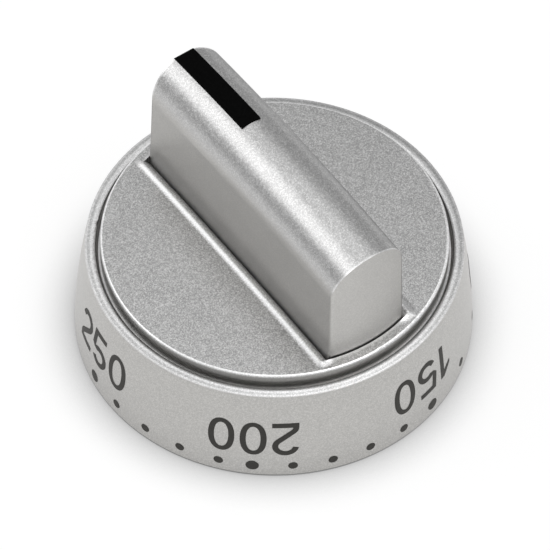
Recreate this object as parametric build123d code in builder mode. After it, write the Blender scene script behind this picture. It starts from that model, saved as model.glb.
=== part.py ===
from build123d import *
import os
from math import asin, cos, degrees, radians, sin, sqrt, tan

# Oven control knob: a conical dial skirt, a raised face disc set into it, and a grip bar that
# rises through a slot in the disc. The grip bar is one moulding with the hub that takes the shaft.
# Millimetres. The origin is on the shaft axis, in the plane of the skirt's lower edge. +Z points
# out of the appliance's panel, and the grip bar lies along Y with its black pointer end at +Y.

# Dial skirt
skirt_base_radius = 23.0
skirt_rim_radius = 21.65
skirt_height = 13.2
skirt_bulge = 0.24
skirt_wall = 1.6
skirt_foot_chamfer = 0.25
rim_width = 1.5
rim_inner_round = 0.7
seat_depth = 0.75
web_thickness = 1.6
web_hole_radius = 12.5

# Face disc
groove_gap = 0.22
disc_rise = 1.45
disc_crown = 0.45
disc_wall = 1.3
disc_edge_round = 0.35
slot_lip_round = 0.9
slot_side_clearance = 0.06
slot_end_clearance = 0.14
seat_clearance = 0.05
peg_radius = 0.9
peg_circle_radius = 15.4
peg_angle = 25.0
peg_head_radius = 1.5
peg_head_height = 0.7
peg_head_chamfer = 0.4

# Grip bar
bar_foot_width = 10.3
bar_foot_length = 36.7
bar_rise = 15.8
bar_draft = 1.2
bar_ridge_radius = 235.0
bar_corner_round = 0.45
bar_wall = 1.7
flange_thickness = 1.1
flange_clearance = 0.2

# Hub, with a bore for a shaft that has one flat
hub_radius = 5.6
hub_recess = 1.5
hub_end_chamfer = 0.4
bore_diameter = 6.1
bore_across_flat = 4.65
bore_depth = 17.0
rib_angles = (0, 42, 138, 180, 222, 318)
rib_thickness = 1.1
rib_depth = 6.0

# Shaft spring, a bowed leaf that presses on the shaft's flat
spring_thickness = 0.4
spring_width = 3.9
spring_length = 10.5
spring_bow = 0.8
spring_press = 0.15
spring_hook = 1.5
spring_clearance = 0.05

# Pointer inlay, set into the ridge and over the end of the bar
inlay_width = 2.55
inlay_top_length = 13.2
inlay_leg_length = 5.5
inlay_thickness = 1.0
inlay_corner_round = 0.5
inlay_clearance = 0.05
inlay_proud = 0.06

# How far cutting shapes run on past the surfaces that they cut, and how closely an edge is told apart
overshoot = 1.0
tolerance = 0.01

# Heights and radii that follow from the sizes above
groove_outer_radius = skirt_rim_radius - rim_width
seat_z = skirt_height - seat_depth
web_bottom_z = seat_z - web_thickness
disc_radius = groove_outer_radius - groove_gap
disc_edge_z = skirt_height + disc_rise
disc_underside_z = seat_z + flange_thickness + seat_clearance
flange_top_z = seat_z + flange_thickness
flange_radius = disc_radius - disc_wall - flange_clearance
crest_z = disc_edge_z + bar_rise
ridge_centre_z = crest_z - bar_ridge_radius
bar_end_radius = bar_foot_length / 2
bar_top_half = (bar_foot_width / 2 - bar_rise * tan(radians(bar_draft))) / (1 - tan(radians(bar_draft)))
bar_spring_z = crest_z - bar_top_half
slot_half_width = bar_foot_width / 2 + slot_side_clearance
hub_bottom_z = hub_recess
rib_reach = web_hole_radius - flange_clearance
bore_radius = bore_diameter / 2
flat_y = bore_across_flat - bore_radius
spring_front_y = flat_y - spring_press
spring_back_y = spring_front_y + spring_bow + spring_thickness
peg_places = [(peg_circle_radius, angle) for angle in (peg_angle, 180 - peg_angle, 180 + peg_angle, -peg_angle)]


def skirt_radius(z):
    """Outside radius of the skirt's wall at height z, without its bulge."""
    return skirt_base_radius + (skirt_rim_radius - skirt_base_radius) * z / skirt_height


def bar_half_at(z):
    """Half the bar's width at height z, between its drafted sides."""
    return bar_foot_width / 2 - (z - disc_edge_z) * tan(radians(bar_draft))


def bar_end_at(z):
    """Radius of the bar's end faces, which lean inwards, at height z."""
    return bar_end_radius - (z - disc_edge_z) * tan(radians(bar_draft))


def ridge_z(y):
    """Height of the bar's arched ridge at distance y from the shaft axis."""
    return ridge_centre_z + sqrt(bar_ridge_radius ** 2 - y ** 2)


def bar_sides(inset, foot_z):
    """Outline of the bar across its length, as if its drafted sides went on up past the ridge."""
    top_z = crest_z + overshoot
    foot_half = bar_half_at(foot_z) - inset
    top_half = bar_half_at(top_z) - inset
    with BuildLine() as outline:
        Polyline((-top_half, top_z), (-foot_half, foot_z), (foot_half, foot_z), (top_half, top_z), close=True)
    return outline.edges()


def above_arch(inset):
    """Outline of what lies above the bar's half-round top, across its length."""
    half = bar_top_half - inset
    reach = bar_foot_width
    top_z = crest_z + 2 * overshoot
    with BuildLine() as outline:
        ThreePointArc((-half, bar_spring_z), (0, bar_spring_z + half), (half, bar_spring_z))
        Polyline(
            (half, bar_spring_z), (reach, bar_spring_z), (reach, top_z),
            (-reach, top_z), (-reach, bar_spring_z), (-half, bar_spring_z)
        )
    return outline.edges()


def end_limit(inset, foot_z):
    """Half outline, turned round the shaft axis, that ends the bar in two drafted round faces."""
    top_z = crest_z + overshoot
    foot = (bar_end_at(foot_z) - inset, foot_z)
    top = (bar_end_at(top_z) - inset, top_z)
    with BuildLine() as outline:
        Polyline((0, foot_z), foot, top, (0, top_z), close=True)
    return outline.edges()


def inlay_outline(proud, recess):
    """Side outline of the pointer inlay: along the ridge, round the corner and down the end face."""
    start_y = bar_end_at(crest_z) - inlay_top_length
    leg_z = ridge_z(bar_end_radius) - inlay_leg_length - recess
    depth = inlay_thickness + recess
    corner_y = bar_end_at(ridge_z(bar_end_radius))
    outer_corner = (corner_y + proud, ridge_z(corner_y) + proud)
    inner_corner = (corner_y - depth, ridge_z(corner_y - depth) - depth)
    mid_y = (start_y + corner_y) / 2
    with BuildLine() as outline:
        start = start_y - recess
        ThreePointArc((start, ridge_z(start) + proud), (mid_y, ridge_z(mid_y) + proud), outer_corner)
        Polyline(outer_corner, (bar_end_at(leg_z) + proud, leg_z), (bar_end_at(leg_z) - depth, leg_z), inner_corner)
        ThreePointArc(inner_corner, (mid_y, ridge_z(mid_y) - depth), (start, ridge_z(start) - depth))
        Line((start, ridge_z(start) - depth), (start, ridge_z(start) + proud))
    return outline.edges()


# Dial skirt: the wall's outside is slightly convex, and a web inside the rim carries the disc
with BuildPart() as dial_skirt:
    with BuildSketch(Plane.XZ) as dial_skirt_section:
        with BuildLine():
            mid_z = skirt_height / 2
            Line((skirt_base_radius - skirt_wall, 0), (skirt_base_radius, 0))
            ThreePointArc(
                (skirt_base_radius, 0), (skirt_radius(mid_z) + skirt_bulge, mid_z), (skirt_rim_radius, skirt_height)
            )
            Polyline(
                (skirt_rim_radius, skirt_height),
                (groove_outer_radius, skirt_height),
                (groove_outer_radius, seat_z),
                (web_hole_radius, seat_z),
                (web_hole_radius, web_bottom_z),
                (skirt_radius(web_bottom_z) - skirt_wall, web_bottom_z),
                (skirt_base_radius - skirt_wall, 0),
            )
        make_face()
        rim_corner = dial_skirt_section.vertices().group_by(Axis.Y)[-1].sort_by(Axis.X)[0]
        fillet(rim_corner, rim_inner_round)
        foot_corner = dial_skirt_section.vertices().group_by(Axis.Y)[0].sort_by(Axis.X)[-1]
        chamfer(foot_corner, skirt_foot_chamfer)
    revolve(axis=Axis.Z)
    with BuildSketch(Plane.XY.offset(seat_z)):
        for radius, angle in peg_places:
            with PolarLocations(radius, 1, start_angle=angle):
                Circle(peg_radius + seat_clearance)
    extrude(amount=-web_thickness, mode=Mode.SUBTRACT)

# Face disc: a shallow inverted cap with a crowned top, a slot for the bar and four staked pegs
with BuildPart() as face_disc:
    with BuildSketch(Plane.XZ) as face_disc_section:
        with BuildLine():
            crown_y = disc_edge_z + disc_crown
            crown_radius = (disc_radius ** 2 + disc_crown ** 2) / (2 * disc_crown)
            half_angle = asin(disc_radius / crown_radius) / 2
            crown_mid = (crown_radius * sin(half_angle), crown_y - crown_radius * (1 - cos(half_angle)))
            ThreePointArc((0, crown_y), crown_mid, (disc_radius, disc_edge_z))
            Polyline(
                (disc_radius, disc_edge_z),
                (disc_radius, seat_z),
                (disc_radius - disc_wall, seat_z),
                (disc_radius - disc_wall, disc_underside_z),
                (0, disc_underside_z),
                (0, crown_y),
            )
        make_face()
        edge_corner = face_disc_section.vertices().group_by(Axis.X)[-1].sort_by(Axis.Y)[-1]
        fillet(edge_corner, disc_edge_round)
    revolve(axis=Axis.Z)
    with BuildSketch(Plane.XY.offset(disc_underside_z)):
        Circle(bar_end_at(disc_underside_z) + slot_end_clearance)
        Rectangle(2 * slot_half_width, 2 * disc_radius, mode=Mode.INTERSECT)
    extrude(amount=disc_rise + disc_crown + seat_depth, mode=Mode.SUBTRACT)
    lip_edges = face_disc.edges().filter_by(
        lambda edge: abs(abs(edge.center().X) - slot_half_width) < tolerance and edge.center().Z > disc_edge_z
    )
    fillet(lip_edges, slot_lip_round)
    with BuildSketch(Plane.XY.offset(disc_underside_z)):
        for radius, angle in peg_places:
            with PolarLocations(radius, 1, start_angle=angle):
                Circle(peg_radius)
    extrude(amount=web_bottom_z - disc_underside_z)
    with BuildSketch(Plane.XY.offset(web_bottom_z)):
        for radius, angle in peg_places:
            with PolarLocations(radius, 1, start_angle=angle):
                Circle(peg_head_radius)
    extrude(amount=-peg_head_height)
    head_edges = face_disc.edges().filter_by(GeomType.CIRCLE).group_by(Axis.Z)[0]
    chamfer(head_edges, peg_head_chamfer)

# The two pockets inside the bar, one on each side of the hub, which keep its walls even
ridge_axis = Axis((0, 0, ridge_centre_z), (1, 0, 0))
half_turn = degrees(asin((bar_end_radius + 2 * overshoot) / bar_ridge_radius))
with BuildPart() as bar_pockets:
    with BuildSketch(Plane.XZ):
        make_face(bar_sides(bar_wall, seat_z))
        make_face(above_arch(bar_wall), mode=Mode.SUBTRACT)
    revolve(axis=ridge_axis, revolution_arc=half_turn)
    mirror(about=Plane.XZ)
    with BuildSketch(Plane.XZ):
        make_face(end_limit(bar_wall, seat_z))
    revolve(axis=Axis.Z, mode=Mode.INTERSECT)
    with Locations((0, 0, crest_z)):
        Box(bar_foot_width, 2 * hub_radius, 2 * crest_z, mode=Mode.SUBTRACT)

# Grip bar: the arched bar, its round flange under the disc, and the ribbed hub below
with BuildPart() as grip_bar:
    with BuildSketch(Plane.XZ):
        make_face(bar_sides(0, seat_z))
    revolve(axis=ridge_axis, revolution_arc=half_turn)
    mirror(about=Plane.XZ)
    with BuildSketch(Plane.XZ):
        make_face(end_limit(0, seat_z))
    revolve(axis=Axis.Z, mode=Mode.INTERSECT)
    corner_edges = grip_bar.edges().filter_by(
        lambda edge: abs(edge.center().X) > bar_top_half / 2 and abs(edge.center().Y) > bar_end_radius / 2
    )
    fillet(corner_edges, bar_corner_round)
    with BuildSketch(Plane.XZ):
        make_face(above_arch(0))
    revolve(axis=ridge_axis, revolution_arc=half_turn, mode=Mode.SUBTRACT)
    with BuildSketch(Plane.XZ):
        make_face(above_arch(0))
    revolve(axis=ridge_axis, revolution_arc=-half_turn, mode=Mode.SUBTRACT)
    with BuildSketch(Plane.XY.offset(seat_z)):
        Circle(flange_radius)
    extrude(amount=flange_thickness)
    with BuildSketch(Plane.XY.offset(hub_bottom_z)):
        Circle(hub_radius)
    extrude(amount=flange_top_z - hub_bottom_z)
    hub_edges = grip_bar.edges().filter_by(GeomType.CIRCLE).group_by(Axis.Z)[0]
    chamfer(hub_edges, hub_end_chamfer)
    with BuildSketch(Plane.XY.offset(seat_z)):
        for angle in rib_angles:
            with PolarLocations(0, 1, start_angle=angle):
                Rectangle(rib_reach, rib_thickness, align=(Align.MIN, Align.CENTER))
    extrude(amount=-rib_depth)
    add(bar_pockets.part, mode=Mode.SUBTRACT)
    with BuildSketch(Plane.XY.offset(hub_bottom_z)):
        Circle(bore_radius)
        with Locations((0, flat_y)):
            Rectangle(bore_diameter, bore_diameter, align=(Align.CENTER, Align.MIN), mode=Mode.SUBTRACT)
    extrude(amount=bore_depth, mode=Mode.SUBTRACT)
    with BuildSketch(Plane.XY.offset(hub_bottom_z)):
        with Locations((0, flat_y)):
            pocket_depth = spring_back_y + spring_clearance - flat_y
            Rectangle(spring_width + 2 * spring_clearance, pocket_depth, align=(Align.CENTER, Align.MIN))
    extrude(amount=spring_length + spring_clearance, mode=Mode.SUBTRACT)
    with BuildSketch(Plane.YZ):
        make_face(inlay_outline(inlay_proud + overshoot, inlay_clearance))
    extrude(amount=inlay_width / 2 + inlay_clearance, both=True, mode=Mode.SUBTRACT)
    with BuildSketch(Plane.XY.offset(seat_z)):
        for radius, angle in peg_places:
            with PolarLocations(radius, 1, start_angle=angle):
                Circle(peg_radius + seat_clearance)
    extrude(amount=flange_thickness, mode=Mode.SUBTRACT)

# Shaft spring: a bowed leaf of spring steel in the hub, with a hook over the hub's end
with BuildPart() as shaft_spring:
    with BuildSketch(Plane.YZ):
        with BuildLine():
            half_thickness = spring_thickness / 2
            hook_z = hub_bottom_z - half_thickness
            tip_z = hub_bottom_z + spring_length
            leaf_y = spring_back_y - half_thickness
            crown = (spring_front_y + half_thickness, (hook_z + tip_z) / 2)
            ThreePointArc((leaf_y, tip_z), crown, (leaf_y, hook_z))
            Line((leaf_y - half_thickness, hook_z), (spring_back_y + spring_hook, hook_z))
        trace(line_width=spring_thickness)
    extrude(amount=spring_width / 2, both=True)

# Pointer inlay: a flat black strip along the ridge that turns down over the end of the bar
with BuildPart() as pointer_inlay:
    with BuildSketch(Plane.YZ):
        make_face(inlay_outline(inlay_proud, 0))
    extrude(amount=inlay_width / 2, both=True)
    turn_edge = pointer_inlay.edges().filter_by(Axis.X).sort_by(lambda edge: edge.center().Y + edge.center().Z)[-1]
    fillet(turn_edge, inlay_corner_round)

dial_skirt.part.label = "dial_skirt"
face_disc.part.label = "face_disc"
grip_bar.part.label = "grip_bar"
shaft_spring.part.label = "shaft_spring"
pointer_inlay.part.label = "pointer_inlay"

os.makedirs("parts", exist_ok=True)
export_step(dial_skirt.part, "parts/dial_skirt.step")
export_step(face_disc.part, "parts/face_disc.step")
export_step(grip_bar.part, "parts/grip_bar.step")
export_step(shaft_spring.part, "parts/shaft_spring.step")
export_step(pointer_inlay.part, "parts/pointer_inlay.step")
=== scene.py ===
"""Dresses the oven control knob: silver paint, black pointer, printed dial and a plain studio."""

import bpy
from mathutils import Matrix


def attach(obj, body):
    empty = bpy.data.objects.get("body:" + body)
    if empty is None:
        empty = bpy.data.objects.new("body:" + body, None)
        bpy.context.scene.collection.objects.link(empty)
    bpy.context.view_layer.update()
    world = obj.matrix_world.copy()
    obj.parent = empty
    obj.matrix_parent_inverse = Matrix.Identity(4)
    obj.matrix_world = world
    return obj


bl_info = {
    "name": "Oven control knob",
    "version": (1, 0, 0),
    "blender": (4, 5, 0),
    "location": "3D View > Sidebar > Knob",
    "description": "Paints the knob, prints its dial and sets up the studio around it",
    "category": "Object",
}

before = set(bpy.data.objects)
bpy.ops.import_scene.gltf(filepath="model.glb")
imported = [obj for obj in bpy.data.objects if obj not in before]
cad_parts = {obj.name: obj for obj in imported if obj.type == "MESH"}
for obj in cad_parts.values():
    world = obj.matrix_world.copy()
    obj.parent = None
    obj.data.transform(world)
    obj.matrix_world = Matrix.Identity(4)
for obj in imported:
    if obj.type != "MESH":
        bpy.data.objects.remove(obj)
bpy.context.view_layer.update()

from math import cos, radians, sin

import bmesh
import bpy
from bpy.props import FloatProperty, FloatVectorProperty, PointerProperty
from mathutils import Matrix, Vector

MM = 0.001


# Shader building

class Field:
    """A value that varies over a surface: arithmetic on it adds the Math nodes that it needs."""

    def __init__(self, shader, socket):
        self.shader = shader
        self.socket = socket

    def math(self, operation, *values):
        return self.shader.node("ShaderNodeMath", {"operation": operation}, dict(enumerate(values)))

    def __add__(self, other):
        return self.math("ADD", self, other)

    def __sub__(self, other):
        return self.math("SUBTRACT", self, other)

    def __rsub__(self, other):
        return self.math("SUBTRACT", other, self)

    def __mul__(self, other):
        return self.math("MULTIPLY", self, other)

    def __pow__(self, other):
        return self.math("POWER", self, other)

    def __abs__(self):
        return self.math("ABSOLUTE", self)

    def highest(self, other):
        return self.math("MAXIMUM", self, other)

    def ramp(self, low, high):
        """0 below low, 1 above high, and smooth between them."""
        inputs = {"Value": self, "From Min": low, "From Max": high}
        return self.shader.node("ShaderNodeMapRange", {"interpolation_type": "SMOOTHSTEP"}, inputs)

    def fall(self, low, high):
        """1 below low, 0 above high, and smooth between them."""
        return 1 - self.ramp(low, high)


class Shader:
    """The node tree of a material or a world, with one method that adds any node."""

    def __init__(self, owner):
        owner.use_nodes = True
        self.owner = owner
        self.tree = owner.node_tree
        self.surface = self.tree.nodes.get("Principled BSDF")

    def node(self, kind, settings=None, inputs=None, output=0):
        node = self.tree.nodes.new(kind)
        for name, value in (settings or {}).items():
            setattr(node, name, value)
        for name, value in (inputs or {}).items():
            self.feed(node.inputs[name], value)
        return Field(self, node.outputs[output])

    def feed(self, socket, value):
        if isinstance(value, Field):
            self.tree.links.new(value.socket, socket)
        else:
            socket.default_value = value

    def place(self):
        """Where the surface point lies, in metres in the knob's own frame."""
        return self.node("ShaderNodeTexCoord", output="Object")

    def part(self, vector, axis):
        return self.node("ShaderNodeSeparateXYZ", inputs={"Vector": vector}, output=axis)

    def axes(self):
        """X, Y and Z of the surface point, and its distance from the shaft axis."""
        place = self.place()
        x, y, z = (self.part(place, axis) for axis in "XYZ")
        return x, y, z, (x * x + y * y) ** 0.5

    def upness(self):
        """1 where the surface faces up, 0 where it is upright."""
        return self.part(self.node("ShaderNodeTexCoord", output="Normal"), "Z")

    def noise(self, size, detail=2.0):
        inputs = {"Vector": self.place(), "Scale": 1 / size, "Detail": detail}
        return self.node("ShaderNodeTexNoise", inputs=inputs, output="Fac")

    def flakes(self, size):
        """A random value for each flake of the paint."""
        inputs = {"Vector": self.place(), "Scale": 1 / size}
        colour = self.node("ShaderNodeTexVoronoi", inputs=inputs, output="Color")
        return self.node("ShaderNodeSeparateColor", inputs={"Color": colour}, output="Red")

    def blend(self, amount, low, high):
        """A colour between low and high."""
        inputs = {0: amount, 6: low, 7: high}
        return self.node("ShaderNodeMix", {"data_type": "RGBA", "clamp_factor": True}, inputs, output=2)

    def bump(self, height):
        """Normals of a surface that stands out by height, in metres."""
        inputs = {"Height": height, "Distance": 1.0, "Strength": 1.0}
        return self.node("ShaderNodeBump", inputs=inputs, output="Normal")

    def path(self, ray):
        """1 for rays of the given kind, 0 for all others."""
        return self.node("ShaderNodeLightPath", output=f"Is {ray} Ray")

    def finish(self, **values):
        """Sets or links the sockets of the surface, by their names with _ for a space."""
        for name, value in values.items():
            self.feed(self.surface.inputs[name.replace("_", " ")], value)
        return self.owner


def grey(value, tint=(1.0, 1.0, 1.0)):
    return (value * tint[0], value * tint[1], value * tint[2], 1.0)


def mm(*values):
    """Millimetres as metres."""
    return tuple(value * MM for value in values)


# Settings

def number(name, description, default, **options):
    return FloatProperty(name=name, description=description, default=default, **options)


def share(name, description, default):
    return number(name, description, default, min=0, max=1, subtype="FACTOR")


def length(name, description, default):
    return number(name, description, default * MM, precision=6, subtype="DISTANCE")


def angle(name, description, default):
    return number(name, description, radians(default), subtype="ANGLE")


def colour(name, description, default):
    return FloatVectorProperty(name=name, description=description, subtype="COLOR", default=default)


class KnobPaint(bpy.types.PropertyGroup):
    """The silver paint, the black pointer and the ink."""

    disc_tone: share("Disc tone", "How light the face disc's paint is", 0.445)
    # Painted shade: the disc's upright sides are set darker than its top
    disc_side_shaded_tone: share("Disc side tone", "How light the paint is on the disc's upright sides", 0.34)
    disc_tint: colour("Disc tint", "Tint of the paint on the face disc", (1.0, 0.998, 0.995))
    grip_tone: share("Grip tone", "How light the grip bar's paint is", 0.52)
    grip_side_tone: share("Grip side tone", "How light the paint is on the bar's upright sides", 0.515)
    grip_tint: colour("Grip tint", "Tint of the paint on the grip bar", (1.0, 0.997, 0.994))
    grip_flop: share("Grip flop", "How light the bar's paint is at a glancing view", 0.42)
    grip_grain: share("Grip grain", "How much of the flakes' contrast shows on the bar", 0.72)
    skirt_tone: share("Skirt tone", "How light the dial skirt's paint is", 0.48)
    warmth: colour("Fine paint tint", "Tint of the paint on upright surfaces", (1.0, 0.985, 0.955))
    gloss: share("Roughness", "How widely the paint spreads its highlights", 0.33)
    flake: length("Flake size", "Size of one flake in the coarse paint", 0.095)
    sparkle: share("Sparkle", "How much the flakes differ in tone", 0.68)
    # Painted highlights along edges and lips: their pale tone, and how far they lose the metal look
    edge_highlight_tone: share("Edge tone", "How light the paint film is along edges", 0.95)
    edge_highlight_matte: share("Edge film", "How far the paint loses its metal look along edges", 0.4)
    plastic: colour("Bare plastic", "Colour of the plastic where no paint reaches", (0.30, 0.30, 0.29))
    ink: colour("Ink", "Colour of the printed dial", (0.036, 0.034, 0.030))


class KnobDial(bpy.types.PropertyGroup):
    """The dial's printed numbers and dots."""

    digit_height: length("Digit height", "Height of a number", 5.3)
    digit_width: length("Digit width", "Width of a 0", 3.08)
    stroke: length("Stroke", "Width of a number's strokes", 0.70)
    pitch: angle("Digit pitch", "Angle from one digit to the next", 9.35)
    digit_level: length("Digit level", "Height of the numbers' middle", 6.65)
    dot_level: length("Dot level", "Height of the dots' middle", 1.8)
    large_dot: length("Large dot", "Diameter of a numbered dot", 1.53)
    small_dot: length("Small dot", "Diameter of a dot between numbers", 1.12)
    ink_height: length("Ink height", "How far the ink stands above the wall", 0.018)


class KnobStudio(bpy.types.PropertyGroup):
    """The camera and the lamps."""

    azimuth: angle("Azimuth", "Camera's turn about the knob", -36.46)
    elevation: angle("Elevation", "Camera's height angle", 52.3)
    roll: angle("Roll", "Camera's roll", -0.96)
    distance: length("Distance", "Camera to the knob's foot", 736)
    aim_right: length("Aim right", "How far the view's middle lies to the right of the knob's foot", 0.1735)
    aim_up: length("Aim up", "How far the view's middle lies above the knob's foot", 4.6046)
    lens: number("Lens", "Focal length for a 36 mm sensor", 416.4, unit="CAMERA")
    side_lamp: number("Side lamp", "Power of the soft box at the left", 0.52, unit="POWER")
    top_lamp: number("Top lamp", "Power of the soft box above the near side", 1.6, unit="POWER")


# Where the paints change: each pair holds where a change starts and ends, in metres

# Distances from the shaft axis
DISC_EDGE = mm(19.0, 19.2)
SLOT_END_NEAR = mm(18.4, 18.5)
SLOT_END_FAR = mm(18.6, 18.95)
BAR_END = mm(18.05, 18.25)
BAR_WALL_END = mm(17.9, 18.2)
POCKET_END = mm(17.2, 17.6)
RIM_INNER = mm(20.98, 21.22)
RIM_OUTER = mm(21.36, 21.48)
RIM_SLOPE = mm(20.6, 22.0)
SKIRT_INSIDE = mm(22.0, 22.3)

# Distances to either side of the bar's middle plane, and along the bar
LIP_NEAR = mm(5.95, 6.3)
LIP_FAR = mm(6.4, 6.95)
BEAD_NEAR = mm(4.0, 5.3)
BEAD_FAR = mm(6.0, 7.0)
SLOT_END_SIDE = mm(5.4, 5.8)
BAR_WALL = mm(4.85, 5.0)
POCKET_SIDE = mm(3.6, 3.7)
LIP_END = mm(17.2, 18.6)

# Heights
BAR_FOOT = mm(14.0, 17.5)
FLANGE_TOP = mm(13.0, 13.3)
POCKET_TOP = mm(26.5, 27.0)
SEAT_TOP = mm(12.3, 12.5)
WEB_TOP = mm(12.3, 12.4)
RIM_TOP = mm(13.0, 13.1)

# Height of the disc's edge, where BAR_END holds, and how far walls lean inwards for each unit of height
DISC_TOP = 14.65 * MM
BAR_DRAFT = 0.021
SKIRT_TAPER = 0.102

# How high the paint stands on the lip, how far the rim's flat falls outwards, and how high grit stands
BEAD_HEIGHT = 0.25 * MM
RIM_SLOPE_HEIGHT = 0.2 * MM
COARSE_GRIT_HEIGHT = 0.003 * MM
FINE_GRIT_HEIGHT = 0.008 * MM

# Sizes of the soft clouds in the paints
COARSE_CLOUD = 4 * MM
FINE_CLOUD = 5 * MM

# How strongly each painted highlight shows, and the painted light on the bar's shaded foot
DISC_EDGE_PAINTED_LIGHT = 0.75
BAR_END_PAINTED_LIGHT = 0.6
BAR_FOOT_PAINTED_LIGHT = 0.4
LIP_PAINTED_HIGHLIGHT = 0.4
SLOT_END_PAINTED_HIGHLIGHT = 0.5
RIM_INNER_PAINTED_HIGHLIGHT = 0.45
RIM_OUTER_PAINTED_HIGHLIGHT = 0.3

# The darkest and the lightest share of its tone that a paint takes
TOP_SPREAD = (0.62, 1.38)
RIM_SPREAD = (0.75, 1.35)
SIDE_SPREAD = (0.7, 1.3)
# The spread of the pale colour of the painted highlights
PAINTED_LIGHT_SPREAD = (0.85, 1.1)
INK_SPREAD = (0.82, 1.2)


# Materials

def flake_grain(shader, paint):
    """About 0.5 on average, with more darkish flakes than bright ones."""
    return shader.flakes(paint.flake) ** 1.8 * 0.8 + shader.noise(paint.flake * 1.6) * 0.2 + 0.114


def grit(shader, paint):
    """Fine unevenness of the paint, from 0 to 1."""
    return shader.noise(paint.flake * 1.3, detail=1)


def spread(shader, field, tone, shares, tint=(1.0, 1.0, 1.0)):
    """A tone that the field varies from the first of its shares to the second."""
    darkest, lightest = shares
    return shader.blend(field, grey(tone * darkest, tint), grey(tone * lightest, tint))


def coarse_silver(name, paint, tone, upright_shaded_tone, tint, lines, flop=1.0, strength=1.0):
    """Metallic paint with flakes that show most on surfaces that face up. The paint on upright surfaces is
    warmer, and on the disc darker as painted shade. Lines gives where painted highlights lie, as a pale metal
    colour and as a pale colour that loses its metal look, how thickly the paint is built up, in metres, and
    where the plastic is left bare."""
    shader = Shader(bpy.data.materials.new(name))
    up = shader.upness()
    painted_gleam, painted_edge_light, relief, bare = lines(shader, up)
    shown = (up.ramp(0.05, 0.75) * 0.6 + 0.4) * strength * (1 - painted_gleam)
    grain = flake_grain(shader, paint)
    cloud = shader.noise(COARSE_CLOUD, detail=3)
    tone_field = (grain - 0.5) * shown * (2 * paint.sparkle) + (cloud - 0.5) * 0.12 + 0.5
    top = spread(shader, tone_field, tone, TOP_SPREAD, tint)
    # Upright surfaces take their own tone: on the disc a darker one, as painted shade
    side = spread(shader, tone_field, upright_shaded_tone, SIDE_SPREAD, paint.warmth)
    # The pale colour that the painted highlights take
    painted_light_colour = spread(shader, tone_field, paint.edge_highlight_tone, PAINTED_LIGHT_SPREAD)
    painted = shader.blend(painted_edge_light.highest(painted_gleam), shader.blend(up.ramp(0.1, 0.45), side, top), painted_light_colour)
    return shader.finish(
        Base_Color=shader.blend(bare, painted, grey(1.0, paint.plastic)),
        Metallic=(1 - painted_edge_light * paint.edge_highlight_matte) * (1 - bare),
        Roughness=(grain - 0.5) * shown * 0.16 + paint.gloss + bare * 0.2,
        Normal=shader.bump(grit(shader, paint) * COARSE_GRIT_HEIGHT + relief),
        Specular_Tint=grey(flop),
    )


def disc_lines(shader, up):
    """Painted highlights: a pale line on the disc's round edge, and one on the lips along the slot, fainter
    at the slot's ends.
    """
    x, y, z, reach = shader.axes()
    beside = abs(x)
    along = abs(y).fall(*LIP_END)
    # Painted highlights on the disc's round edge, along the slot's lips and round the slot's ends
    edge = up.ramp(0.45, 0.75) * up.fall(0.95, 0.99) * DISC_EDGE_PAINTED_LIGHT * reach.ramp(*DISC_EDGE)
    lip = beside.ramp(*LIP_NEAR) * beside.fall(*LIP_FAR) * along
    bead = beside.fall(*BEAD_FAR) * beside.ramp(*BEAD_NEAR) * along * BEAD_HEIGHT
    end = reach.fall(*SLOT_END_FAR) * reach.ramp(*SLOT_END_NEAR) * beside.fall(*SLOT_END_SIDE)
    return (lip * LIP_PAINTED_HIGHLIGHT).highest(end * SLOT_END_PAINTED_HIGHLIGHT), edge, bead, up.fall(-0.5, -0.2)


def grip_lines(shader, up):
    """Painted highlights on the two arched edges of the grip bar's ends, and faint painted light on its
    shaded foot where it passes through the slot.
    """
    x, y, z, reach = shader.axes()
    # Painted highlight on the arched edges of the bar's ends
    arch = (reach + (z - DISC_TOP) * BAR_DRAFT).ramp(*BAR_END) * up.ramp(0.15, 0.35) * BAR_END_PAINTED_LIGHT
    wall = abs(x).ramp(*BAR_WALL) * reach.fall(*BAR_WALL_END)
    # Painted light that lifts the shade on the bar's foot inside the slot
    foot = z.fall(*BAR_FOOT) * wall * BAR_FOOT_PAINTED_LIGHT
    pocket = abs(x).fall(*POCKET_SIDE) * reach.fall(*POCKET_END) * z.fall(*POCKET_TOP)
    return 0.0, arch.highest(foot), 0.0, z.fall(*FLANGE_TOP).highest(pocket)


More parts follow.
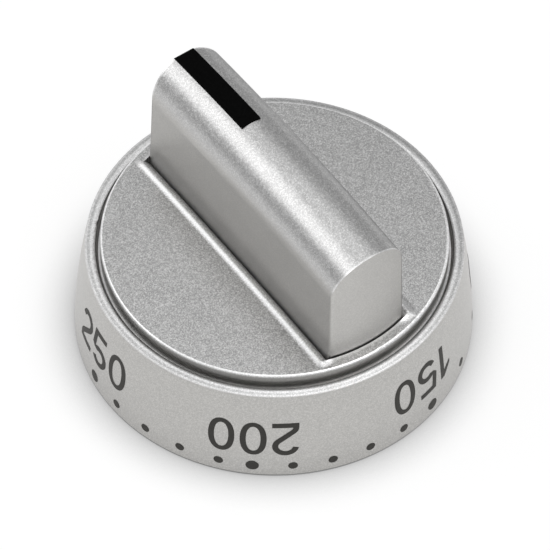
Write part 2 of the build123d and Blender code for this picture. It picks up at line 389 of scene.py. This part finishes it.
def fine_silver(name, paint):
    """The smoother, warmer paint of the dial's wall. Its rim carries the coarse flakes and painted highlights
    on its two edges.
    """
    shader = Shader(bpy.data.materials.new(name))
    up = shader.upness()
    x, y, z, reach = shader.axes()
    rim = up.ramp(0.5, 0.9)
    at_rim = z.ramp(*RIM_TOP)
    # Painted highlights on the rim's inner and outer edges
    inner = reach.fall(*RIM_INNER) * z.ramp(*SEAT_TOP) * RIM_INNER_PAINTED_HIGHLIGHT
    outer = reach.ramp(*RIM_OUTER) * at_rim * RIM_OUTER_PAINTED_HIGHLIGHT
    slope = reach.fall(*RIM_SLOPE) * at_rim * RIM_SLOPE_HEIGHT
    bare = (reach + z * SKIRT_TAPER).fall(*SKIRT_INSIDE) * z.fall(*WEB_TOP)
    grain = flake_grain(shader, paint)
    cloud = shader.noise(FINE_CLOUD, detail=3)
    tone_field = (grain - 0.5) * (rim * 0.5 + 0.5) * (2 * paint.sparkle) + (cloud - 0.5) * 0.1 + 0.5
    wall = spread(shader, tone_field, paint.skirt_tone, SIDE_SPREAD, paint.warmth)
    top = spread(shader, tone_field, paint.disc_tone, RIM_SPREAD)
    painted_light_colour = spread(shader, tone_field, paint.edge_highlight_tone, PAINTED_LIGHT_SPREAD)
    painted = shader.blend(inner.highest(outer), shader.blend(rim, wall, top), painted_light_colour)
    return shader.finish(
        Base_Color=shader.blend(bare, painted, grey(1.0, paint.plastic)),
        Metallic=1 - bare,
        Roughness=(grain - 0.5) * 0.1 + paint.gloss + 0.04 + bare * 0.15,
        Normal=shader.bump(grit(shader, paint) * (rim * 0.35 + 0.12) * FINE_GRIT_HEIGHT + slope),
    )


def pointer_black():
    shader = Shader(bpy.data.materials.new("pointer_black"))
    dust = shader.noise(0.3 * MM, detail=3)
    black = shader.blend(dust.ramp(0.35, 0.75), grey(0.0010), grey(0.0022))
    return shader.finish(Base_Color=black, Roughness=dust * 0.1 + 0.42, Specular_IOR_Level=0.02)


def spring_steel():
    shader = Shader(bpy.data.materials.new("spring_steel"))
    brushed = shader.noise(0.4 * MM, detail=4)
    steel = shader.blend(brushed, grey(0.38), grey(0.55))
    return shader.finish(Base_Color=steel, Metallic=1.0, Roughness=brushed * 0.15 + 0.25)


def dial_ink(paint):
    shader = Shader(bpy.data.materials.new("dial_ink"))
    wear = shader.noise(0.25 * MM, detail=3)
    ink = spread(shader, wear.ramp(0.2, 0.8), 1.0, INK_SPREAD, paint.ink)
    return shader.finish(Base_Color=ink, Roughness=wear * 0.1 + 0.5, Specular_IOR_Level=0.25)


# The dial's wall

WALL_FOOT = 23.0 * MM
WALL_RIM = 21.65 * MM
WALL_HEIGHT = 13.2 * MM
WALL_BULGE = 0.24 * MM
WELD_GAP = 0.002 * MM


def wall_radius(z):
    """Radius of the skirt's slightly convex wall at height z."""
    part = z / WALL_HEIGHT
    return WALL_FOOT + (WALL_RIM - WALL_FOOT) * part + 4 * WALL_BULGE * part * (1 - part)


def wrap_on_wall(verts, turn, level, upright, lift):
    """Lays flat verts on the wall. Their x runs round it and their y up it. Upright is 1, or -1 where tops
    face the foot."""
    for vert in verts:
        z = level + upright * vert.co.y
        radius = wall_radius(z) + lift
        along = turn + upright * vert.co.x / radius
        vert.co = Vector((-radius * sin(along), radius * cos(along), z))


class Pen:
    """Draws a stroke of even width by sweeping its cross edge along runs, arcs and sharp corners."""

    RUN_STEP = 0.35 * MM
    ARC_STEP = 0.2 * MM

    def __init__(self, bm, start, heading, width):
        self.bm = bm
        self.width = width
        self.heading = radians(heading)
        start = Vector((start[0], start[1], 0))
        self.left = bm.verts.new(start + self.side() * (width / 2))
        self.right = bm.verts.new(start - self.side() * (width / 2))
        self.edge = bm.edges.new((self.left, self.right))

    def side(self):
        """Unit vector to the left of the heading."""
        return Vector((-sin(self.heading), cos(self.heading), 0))

    def middle(self):
        return (self.left.co + self.right.co) / 2

    def advance(self, edge):
        """Takes the far edge of what was just swept as the new cross edge."""
        self.edge = edge
        side = self.side()
        self.right, self.left = sorted(edge.verts, key=lambda vert: vert.co.dot(side))

    def go(self, distance):
        steps = max(1, round(distance / self.RUN_STEP))
        step = Vector((cos(self.heading), sin(self.heading), 0)) * (distance / steps)
        for _ in range(steps):
            geom = bmesh.ops.extrude_edge_only(self.bm, edges=[self.edge])["geom"]
            verts = [item for item in geom if isinstance(item, bmesh.types.BMVert)]
            bmesh.ops.translate(self.bm, verts=verts, vec=step)
            self.advance(self.bm.edges.get(verts))
        return self

    def turn(self, degrees, radius):
        """Turns left by degrees, or right where it is negative, along an arc of the middle line."""
        turned = radians(degrees)
        centre = self.middle() + self.side() * (radius if turned > 0 else -radius)
        steps = max(4, round(abs(turned) * radius / self.ARC_STEP))
        geom = [self.edge]
        spun = bmesh.ops.spin(self.bm, geom=geom, cent=centre, axis=(0, 0, 1), angle=turned, steps=steps)
        self.heading += turned
        self.advance([item for item in spun["geom_last"] if isinstance(item, bmesh.types.BMEdge)][0])
        return self

    def corner(self, degrees, reach=1.0):
        """Turns left by degrees about the stroke's left side. The outer side runs out to a point,
        and reach says how much of that point is kept."""
        pivot, old = self.left, self.right
        out = -self.side()
        self.heading += radians(degrees)
        out_new = -self.side()
        point = (out + out_new) / (1 + out.dot(out_new))
        blunt = ((out + out_new) / 2).lerp(point, reach)
        tip = self.bm.verts.new(pivot.co + blunt * self.width)
        new = self.bm.verts.new(pivot.co + out_new * self.width)
        self.bm.faces.new((pivot, old, tip))
        self.bm.faces.new((pivot, tip, new))
        self.advance(self.bm.edges.get((pivot, new)))
        return self


def draw_zero(bm, width, height, stroke):
    """Two rings, a little fuller than ellipses, with the stroke slightly thinner at top and bottom."""
    fullness, thinning = 0.035, 0.92
    edges = set()
    for inset in (0, stroke):
        half_width, half_height = width / 2 - inset, height / 2 - inset * thinning
        for vert in bmesh.ops.create_circle(bm, cap_ends=False, segments=64, radius=1)["verts"]:
            x, y = vert.co.x, vert.co.y
            swell = 1 + fullness * (2 * x * y) ** 2
            vert.co = Vector((x * swell * half_width, y * swell * half_height, 0))
            edges.update(vert.link_edges)
    bmesh.ops.bridge_loops(bm, edges=list(edges))


def draw_one(bm, width, height, stroke):
    """An upright stem, and a flag that climbs to its head in short pieces."""
    head = height / 2
    stem = 0.27 * width
    near = stem - stroke / 2
    far = near - 0.4 * width
    far_top = 0.25 * height
    near_depth, far_depth = 1.5 * stroke, 0.75 * stroke
    pieces = 4
    Pen(bm, (stem, -head), 90, stroke).go(height)
    upper = (Vector((near, head, 0)), Vector((far, far_top, 0)))
    lower = (Vector((near, head - near_depth, 0)), Vector((far, far_top - far_depth, 0)))
    rows = []
    for n in range(pieces + 1):
        rows.append([bm.verts.new(start.lerp(end, n / pieces)) for start, end in (upper, lower)])
    for (top, foot), (next_top, next_foot) in zip(rows, rows[1:]):
        bm.faces.new((top, foot, next_foot, next_top))


def draw_two(bm, width, height, stroke):
    """A round head, and a diagonal that steepens into a square corner with the foot."""
    radius = (width - stroke) / 2
    start_out, start_down = 0.985 * radius, 0.826 * radius
    start = (-start_out, height / 2 - stroke / 2 - start_down)
    bend_angle = 48
    slope = radians(bend_angle)
    flatness = 1 - cos(slope)
    run = radius * (1 + cos(slope))
    drop = height - 1.5 * stroke - radius - radius * sin(slope)
    straight = (run * sin(slope) - drop * flatness) / flatness
    bend = (drop * sin(slope) - run * cos(slope)) / flatness
    pen = Pen(bm, start, 80, stroke)
    pen.turn(-170 - bend_angle, radius).go(straight).turn(bend_angle, bend).corner(90)
    pen.go(width / 2 - pen.middle().x)


def draw_five(bm, width, height, stroke):
    """A flag, a leaning stem and a bowl that starts behind the stem's foot."""
    radius = (width - stroke) / 2
    bowl = -height / 2 + stroke / 2 + radius
    flag_end = 0.40 * width
    start_angle, lean_angle, bowl_angle = 130, 6, 286
    start = radians(start_angle)
    heading = start - radians(90)
    lean = radians(lean_angle)
    bowl_start = Vector((radius * cos(start), bowl + radius * sin(start), 0))
    pivot = bowl_start + Vector((-sin(heading), cos(heading), 0)) * (stroke / 2)
    climb = height / 2 - stroke - pivot.y
    corner_x = pivot.x + climb * sin(lean) / cos(lean)
    pen = Pen(bm, (flag_end, height / 2 - stroke / 2), 180, stroke)
    pen.go(flag_end - corner_x).corner(90 - lean_angle)
    pen.go(climb / cos(lean)).corner(start_angle + lean_angle, reach=0.12)
    pen.turn(-bowl_angle, radius)


DRAWERS = {"0": draw_zero, "1": draw_one, "2": draw_two, "5": draw_five}

# Each number with its angle from the pointer, how far it stands above the common level in mm, and whether
# its tops face the rim (1) or the foot (-1)
NUMBERS = (
    ("250", 82.5, 0.3, 1), ("200", 138.3, -0.3, -1), ("150", 194.9, 0.3, -1),
    ("100", 247.4, 0.0, -1), ("50", 300.4, 0.0, -1), ("0", 0.0, 0.0, 1),
)
LARGE_DOTS = (81.0, 138.2, 196.6, 248.5, 300.4, 0.0)
# Each run of small dots with the angle that it starts from, its step and its number of dots
SMALL_DOT_RUNS = ((81.0, 11.85, 4), (138.2, 11.62, 4), (196.7, 17.28, 2), (248.5, 17.28, 2))
SMALL_DOTS = tuple(start + step * n for start, step, count in SMALL_DOT_RUNS for n in range(1, count + 1))


# Operators

def new_piece(name, bm, material):
    """Makes the finished mesh a piece that rides on the knob."""
    bmesh.ops.recalc_face_normals(bm, faces=bm.faces)
    mesh = bpy.data.meshes.new(name)
    bm.to_mesh(mesh)
    bm.free()
    mesh.materials.append(material)
    piece = bpy.data.objects.new(name, mesh)
    bpy.context.scene.collection.objects.link(piece)
    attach(piece, "root")


def paint_node(name, material):
    """Gives a CAD node its material."""
    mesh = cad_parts[name].data
    mesh.materials.clear()
    mesh.materials.append(material)


class KNOB_OT_face_disc(bpy.types.Operator):
    """Paint the face disc with coarse silver"""
    bl_idname = "knob.face_disc"
    bl_label = "Face disc"

    def execute(self, context):
        paint = context.scene.knob_paint
        silver = coarse_silver(
            "disc_silver", paint, paint.disc_tone, paint.disc_side_shaded_tone, paint.disc_tint, disc_lines,
        )
        paint_node("face_disc", silver)
        return {"FINISHED"}


class KNOB_OT_grip_bar(bpy.types.Operator):
    """Paint the grip bar with coarse silver"""
    bl_idname = "knob.grip_bar"
    bl_label = "Grip bar"

    def execute(self, context):
        paint = context.scene.knob_paint
        silver = coarse_silver(
            "grip_silver", paint, paint.grip_tone, paint.grip_side_tone, paint.grip_tint, grip_lines,
            flop=paint.grip_flop, strength=paint.grip_grain,
        )
        paint_node("grip_bar", silver)
        return {"FINISHED"}


class KNOB_OT_dial_skirt(bpy.types.Operator):
    """Paint the dial skirt with fine silver"""
    bl_idname = "knob.dial_skirt"
    bl_label = "Dial skirt"

    def execute(self, context):
        paint_node("dial_skirt", fine_silver("skirt_silver", context.scene.knob_paint))
        return {"FINISHED"}


class KNOB_OT_pointer(bpy.types.Operator):
    """Colour the pointer inlay and the shaft spring"""
    bl_idname = "knob.pointer"
    bl_label = "Pointer and spring"

    def execute(self, context):
        paint_node("pointer_inlay", pointer_black())
        paint_node("shaft_spring", spring_steel())
        return {"FINISHED"}


class KNOB_OT_numbers(bpy.types.Operator):
    """Print the numbers of the dial on the skirt's wall"""
    bl_idname = "knob.numbers"
    bl_label = "Numbers"

    def execute(self, context):
        dial = context.scene.knob_dial
        whole = bmesh.new()
        for text, turn, raised, upright in NUMBERS:
            level = dial.digit_level + raised * MM
            for place, digit in enumerate(text):
                old = set(whole.verts)
                DRAWERS[digit](whole, dial.digit_width, dial.digit_height, dial.stroke)
                verts = [vert for vert in whole.verts if vert not in old]
                off_middle = (place - (len(text) - 1) / 2) * dial.pitch
                wrap_on_wall(verts, radians(turn) + upright * off_middle, level, upright, dial.ink_height)
        bmesh.ops.remove_doubles(whole, verts=whole.verts, dist=WELD_GAP)
        new_piece("dial_numbers", whole, dial_ink(context.scene.knob_paint))
        return {"FINISHED"}


class KNOB_OT_dots(bpy.types.Operator):
    """Print the dots of the dial along the skirt's foot"""
    bl_idname = "knob.dots"
    bl_label = "Dots"

    def execute(self, context):
        dial = context.scene.knob_dial
        whole = bmesh.new()
        for turns, size in ((LARGE_DOTS, dial.large_dot), (SMALL_DOTS, dial.small_dot)):
            for turn in turns:
                circle = bmesh.ops.create_circle(
                    whole, cap_ends=True, cap_tris=True, segments=36, radius=size / 2,
                )
                wrap_on_wall(circle["verts"], radians(turn), dial.dot_level, 1, dial.ink_height)
        new_piece("dial_dots", whole, dial_ink(context.scene.knob_paint))
        return {"FINISHED"}


# The studio

# Each soft box with its direction from the knob, and its distance, width and height in metres
SIDE_BOX = ((-0.52, 0.494, 0.74), 0.6, 0.5, 0.30)
TOP_BOX = ((0.2, -0.28, 1.0), 0.7, 0.5, 0.5)
# Each dull side of the room with its direction, the closeness to it at which the dullness starts and is full,
# and how much light it takes
DULL_RIGHT = ((0.82, 0.50, 0.28), 0.70, 1.0, 0.6)
DULL_LEFT = ((-0.87, 0.49, 0.0), 0.78, 0.97, 0.65)
FLOOR_SIZE = 1.5
SHADOW_REACH = 9 * MM
SENSOR_WIDTH = 36


def soft_box(name, power, direction, distance, width, height):
    """A lamp that faces the knob from the given direction."""
    lamp = bpy.data.lights.new(name, "AREA")
    lamp.shape = "RECTANGLE"
    lamp.size = width
    lamp.size_y = height
    lamp.energy = power
    light = bpy.data.objects.new(name, lamp)
    towards = Vector(direction).normalized()
    light.location = towards * distance
    light.rotation_euler = towards.to_track_quat("Z", "Y").to_euler()
    bpy.context.scene.collection.objects.link(light)


def floor_white():
    """White paper that is seen white, with a soft shadow where the knob stands close. Reflections show the
    shadow fainter."""
    darkest, added = 0.08, 0.72
    shader = Shader(bpy.data.materials.new("floor_white"))
    near = shader.node("ShaderNodeAmbientOcclusion", {"samples": 16}, {"Distance": SHADOW_REACH}, output="AO")
    lift = shader.path("Glossy") * 0.4
    shade = near.ramp(0.25, 0.92) * (added - lift) + darkest + lift
    glow = shader.node("ShaderNodeEmission", inputs={"Color": grey(1.0), "Strength": shade})
    thin = shader.node("ShaderNodeBsdfDiffuse", inputs={"Color": grey(0.25)})
    seen = shader.node("ShaderNodeAddShader", inputs={0: glow, 1: thin})
    paper = shader.node("ShaderNodeBsdfDiffuse", inputs={"Color": grey(0.82)})
    surface = shader.node("ShaderNodeMixShader", inputs={0: shader.path("Diffuse"), 1: seen, 2: paper})
    shader.feed(shader.tree.nodes["Material Output"].inputs["Surface"], surface)
    return shader.owner


def add_floor(scene):
    bm = bmesh.new()
    bmesh.ops.create_grid(bm, x_segments=1, y_segments=1, size=FLOOR_SIZE)
    mesh = bpy.data.meshes.new("studio_floor")
    bm.to_mesh(mesh)
    bm.free()
    mesh.materials.append(floor_white())
    floor = bpy.data.objects.new("studio_floor", mesh)
    scene.collection.objects.link(floor)


def dulled(room, side, start, full, depth):
    """1 away from the given side of the room, and less towards its middle."""
    way = room.node("ShaderNodeTexCoord", output="Generated")
    inputs = {0: way, 1: side}
    closeness = room.node("ShaderNodeVectorMath", {"operation": "DOT_PRODUCT"}, inputs, output="Value")
    return 1 - closeness.ramp(start, full) * depth


def set_world(scene):
    """White where the camera sees it. Reflections see it white too, with two duller sides of the room,
    and everything else is lit by a plain soft light."""
    scene.world = bpy.data.worlds.new("studio_world")
    room = Shader(scene.world)
    dim = dulled(room, *DULL_RIGHT) * dulled(room, *DULL_LEFT)
    reflected = room.path("Glossy").highest(room.path("Transmission")) * dim
    back = room.tree.nodes["Background"]
    back.inputs["Color"].default_value = grey(1.0)
    room.feed(back.inputs["Strength"], room.path("Camera").highest(reflected).highest(0.5))


def place_camera(scene, studio):
    """The photograph's view: far away, high, and turned to the bar's near end."""
    turn, rise, roll = studio.azimuth, studio.elevation, studio.roll
    back = Vector((sin(turn) * cos(rise), -cos(turn) * cos(rise), sin(rise)))
    level_right = Vector((cos(turn), sin(turn), 0))
    level_up = back.cross(level_right)
    right = level_right * cos(roll) - level_up * sin(roll)
    up = level_up * cos(roll) + level_right * sin(roll)
    lens = bpy.data.cameras.new("photo_camera")
    lens.lens = studio.lens
    lens.sensor_width = SENSOR_WIDTH
    lens.clip_end = 10
    camera = bpy.data.objects.new("photo_camera", lens)
    place = back * studio.distance + right * studio.aim_right + up * studio.aim_up
    camera.matrix_world = Matrix.Translation(place) @ Matrix((right, up, back)).transposed().to_4x4()
    scene.collection.objects.link(camera)
    scene.camera = camera


class KNOB_OT_studio(bpy.types.Operator):
    """Set up the floor, the world, the lamps and the camera"""
    bl_idname = "knob.studio"
    bl_label = "Studio"

    def execute(self, context):
        studio = context.scene.knob_studio
        add_floor(context.scene)
        set_world(context.scene)
        soft_box("side_soft_box", studio.side_lamp, *SIDE_BOX)
        soft_box("top_soft_box", studio.top_lamp, *TOP_BOX)
        place_camera(context.scene, studio)
        context.scene.view_settings.view_transform = "Standard"
        return {"FINISHED"}


class KNOB_PT_panel(bpy.types.Panel):
    """The knob's steps in the sidebar of the 3D view."""
    bl_idname = "KNOB_PT_panel"
    bl_label = "Oven control knob"
    bl_space_type = "VIEW_3D"
    bl_region_type = "UI"
    bl_category = "Knob"

    def draw(self, context):
        for operator in STEPS:
            self.layout.operator(operator.bl_idname)


STEPS = (
    KNOB_OT_studio, KNOB_OT_face_disc, KNOB_OT_grip_bar, KNOB_OT_dial_skirt, KNOB_OT_pointer,
    KNOB_OT_numbers, KNOB_OT_dots,
)
CLASSES = (KnobPaint, KnobDial, KnobStudio) + STEPS + (KNOB_PT_panel,)


def register():
    for cls in CLASSES:
        bpy.utils.register_class(cls)
    bpy.types.Scene.knob_paint = PointerProperty(type=KnobPaint)
    bpy.types.Scene.knob_dial = PointerProperty(type=KnobDial)
    bpy.types.Scene.knob_studio = PointerProperty(type=KnobStudio)


def unregister():
    del bpy.types.Scene.knob_studio
    del bpy.types.Scene.knob_dial
    del bpy.types.Scene.knob_paint
    for cls in reversed(CLASSES):
        bpy.utils.unregister_class(cls)


def main():
    register()
    bpy.ops.knob.studio()
    bpy.ops.knob.face_disc()
    bpy.ops.knob.grip_bar()
    bpy.ops.knob.dial_skirt()
    bpy.ops.knob.pointer()
    bpy.ops.knob.numbers()
    bpy.ops.knob.dots()


if __name__ == "__main__":
    main()
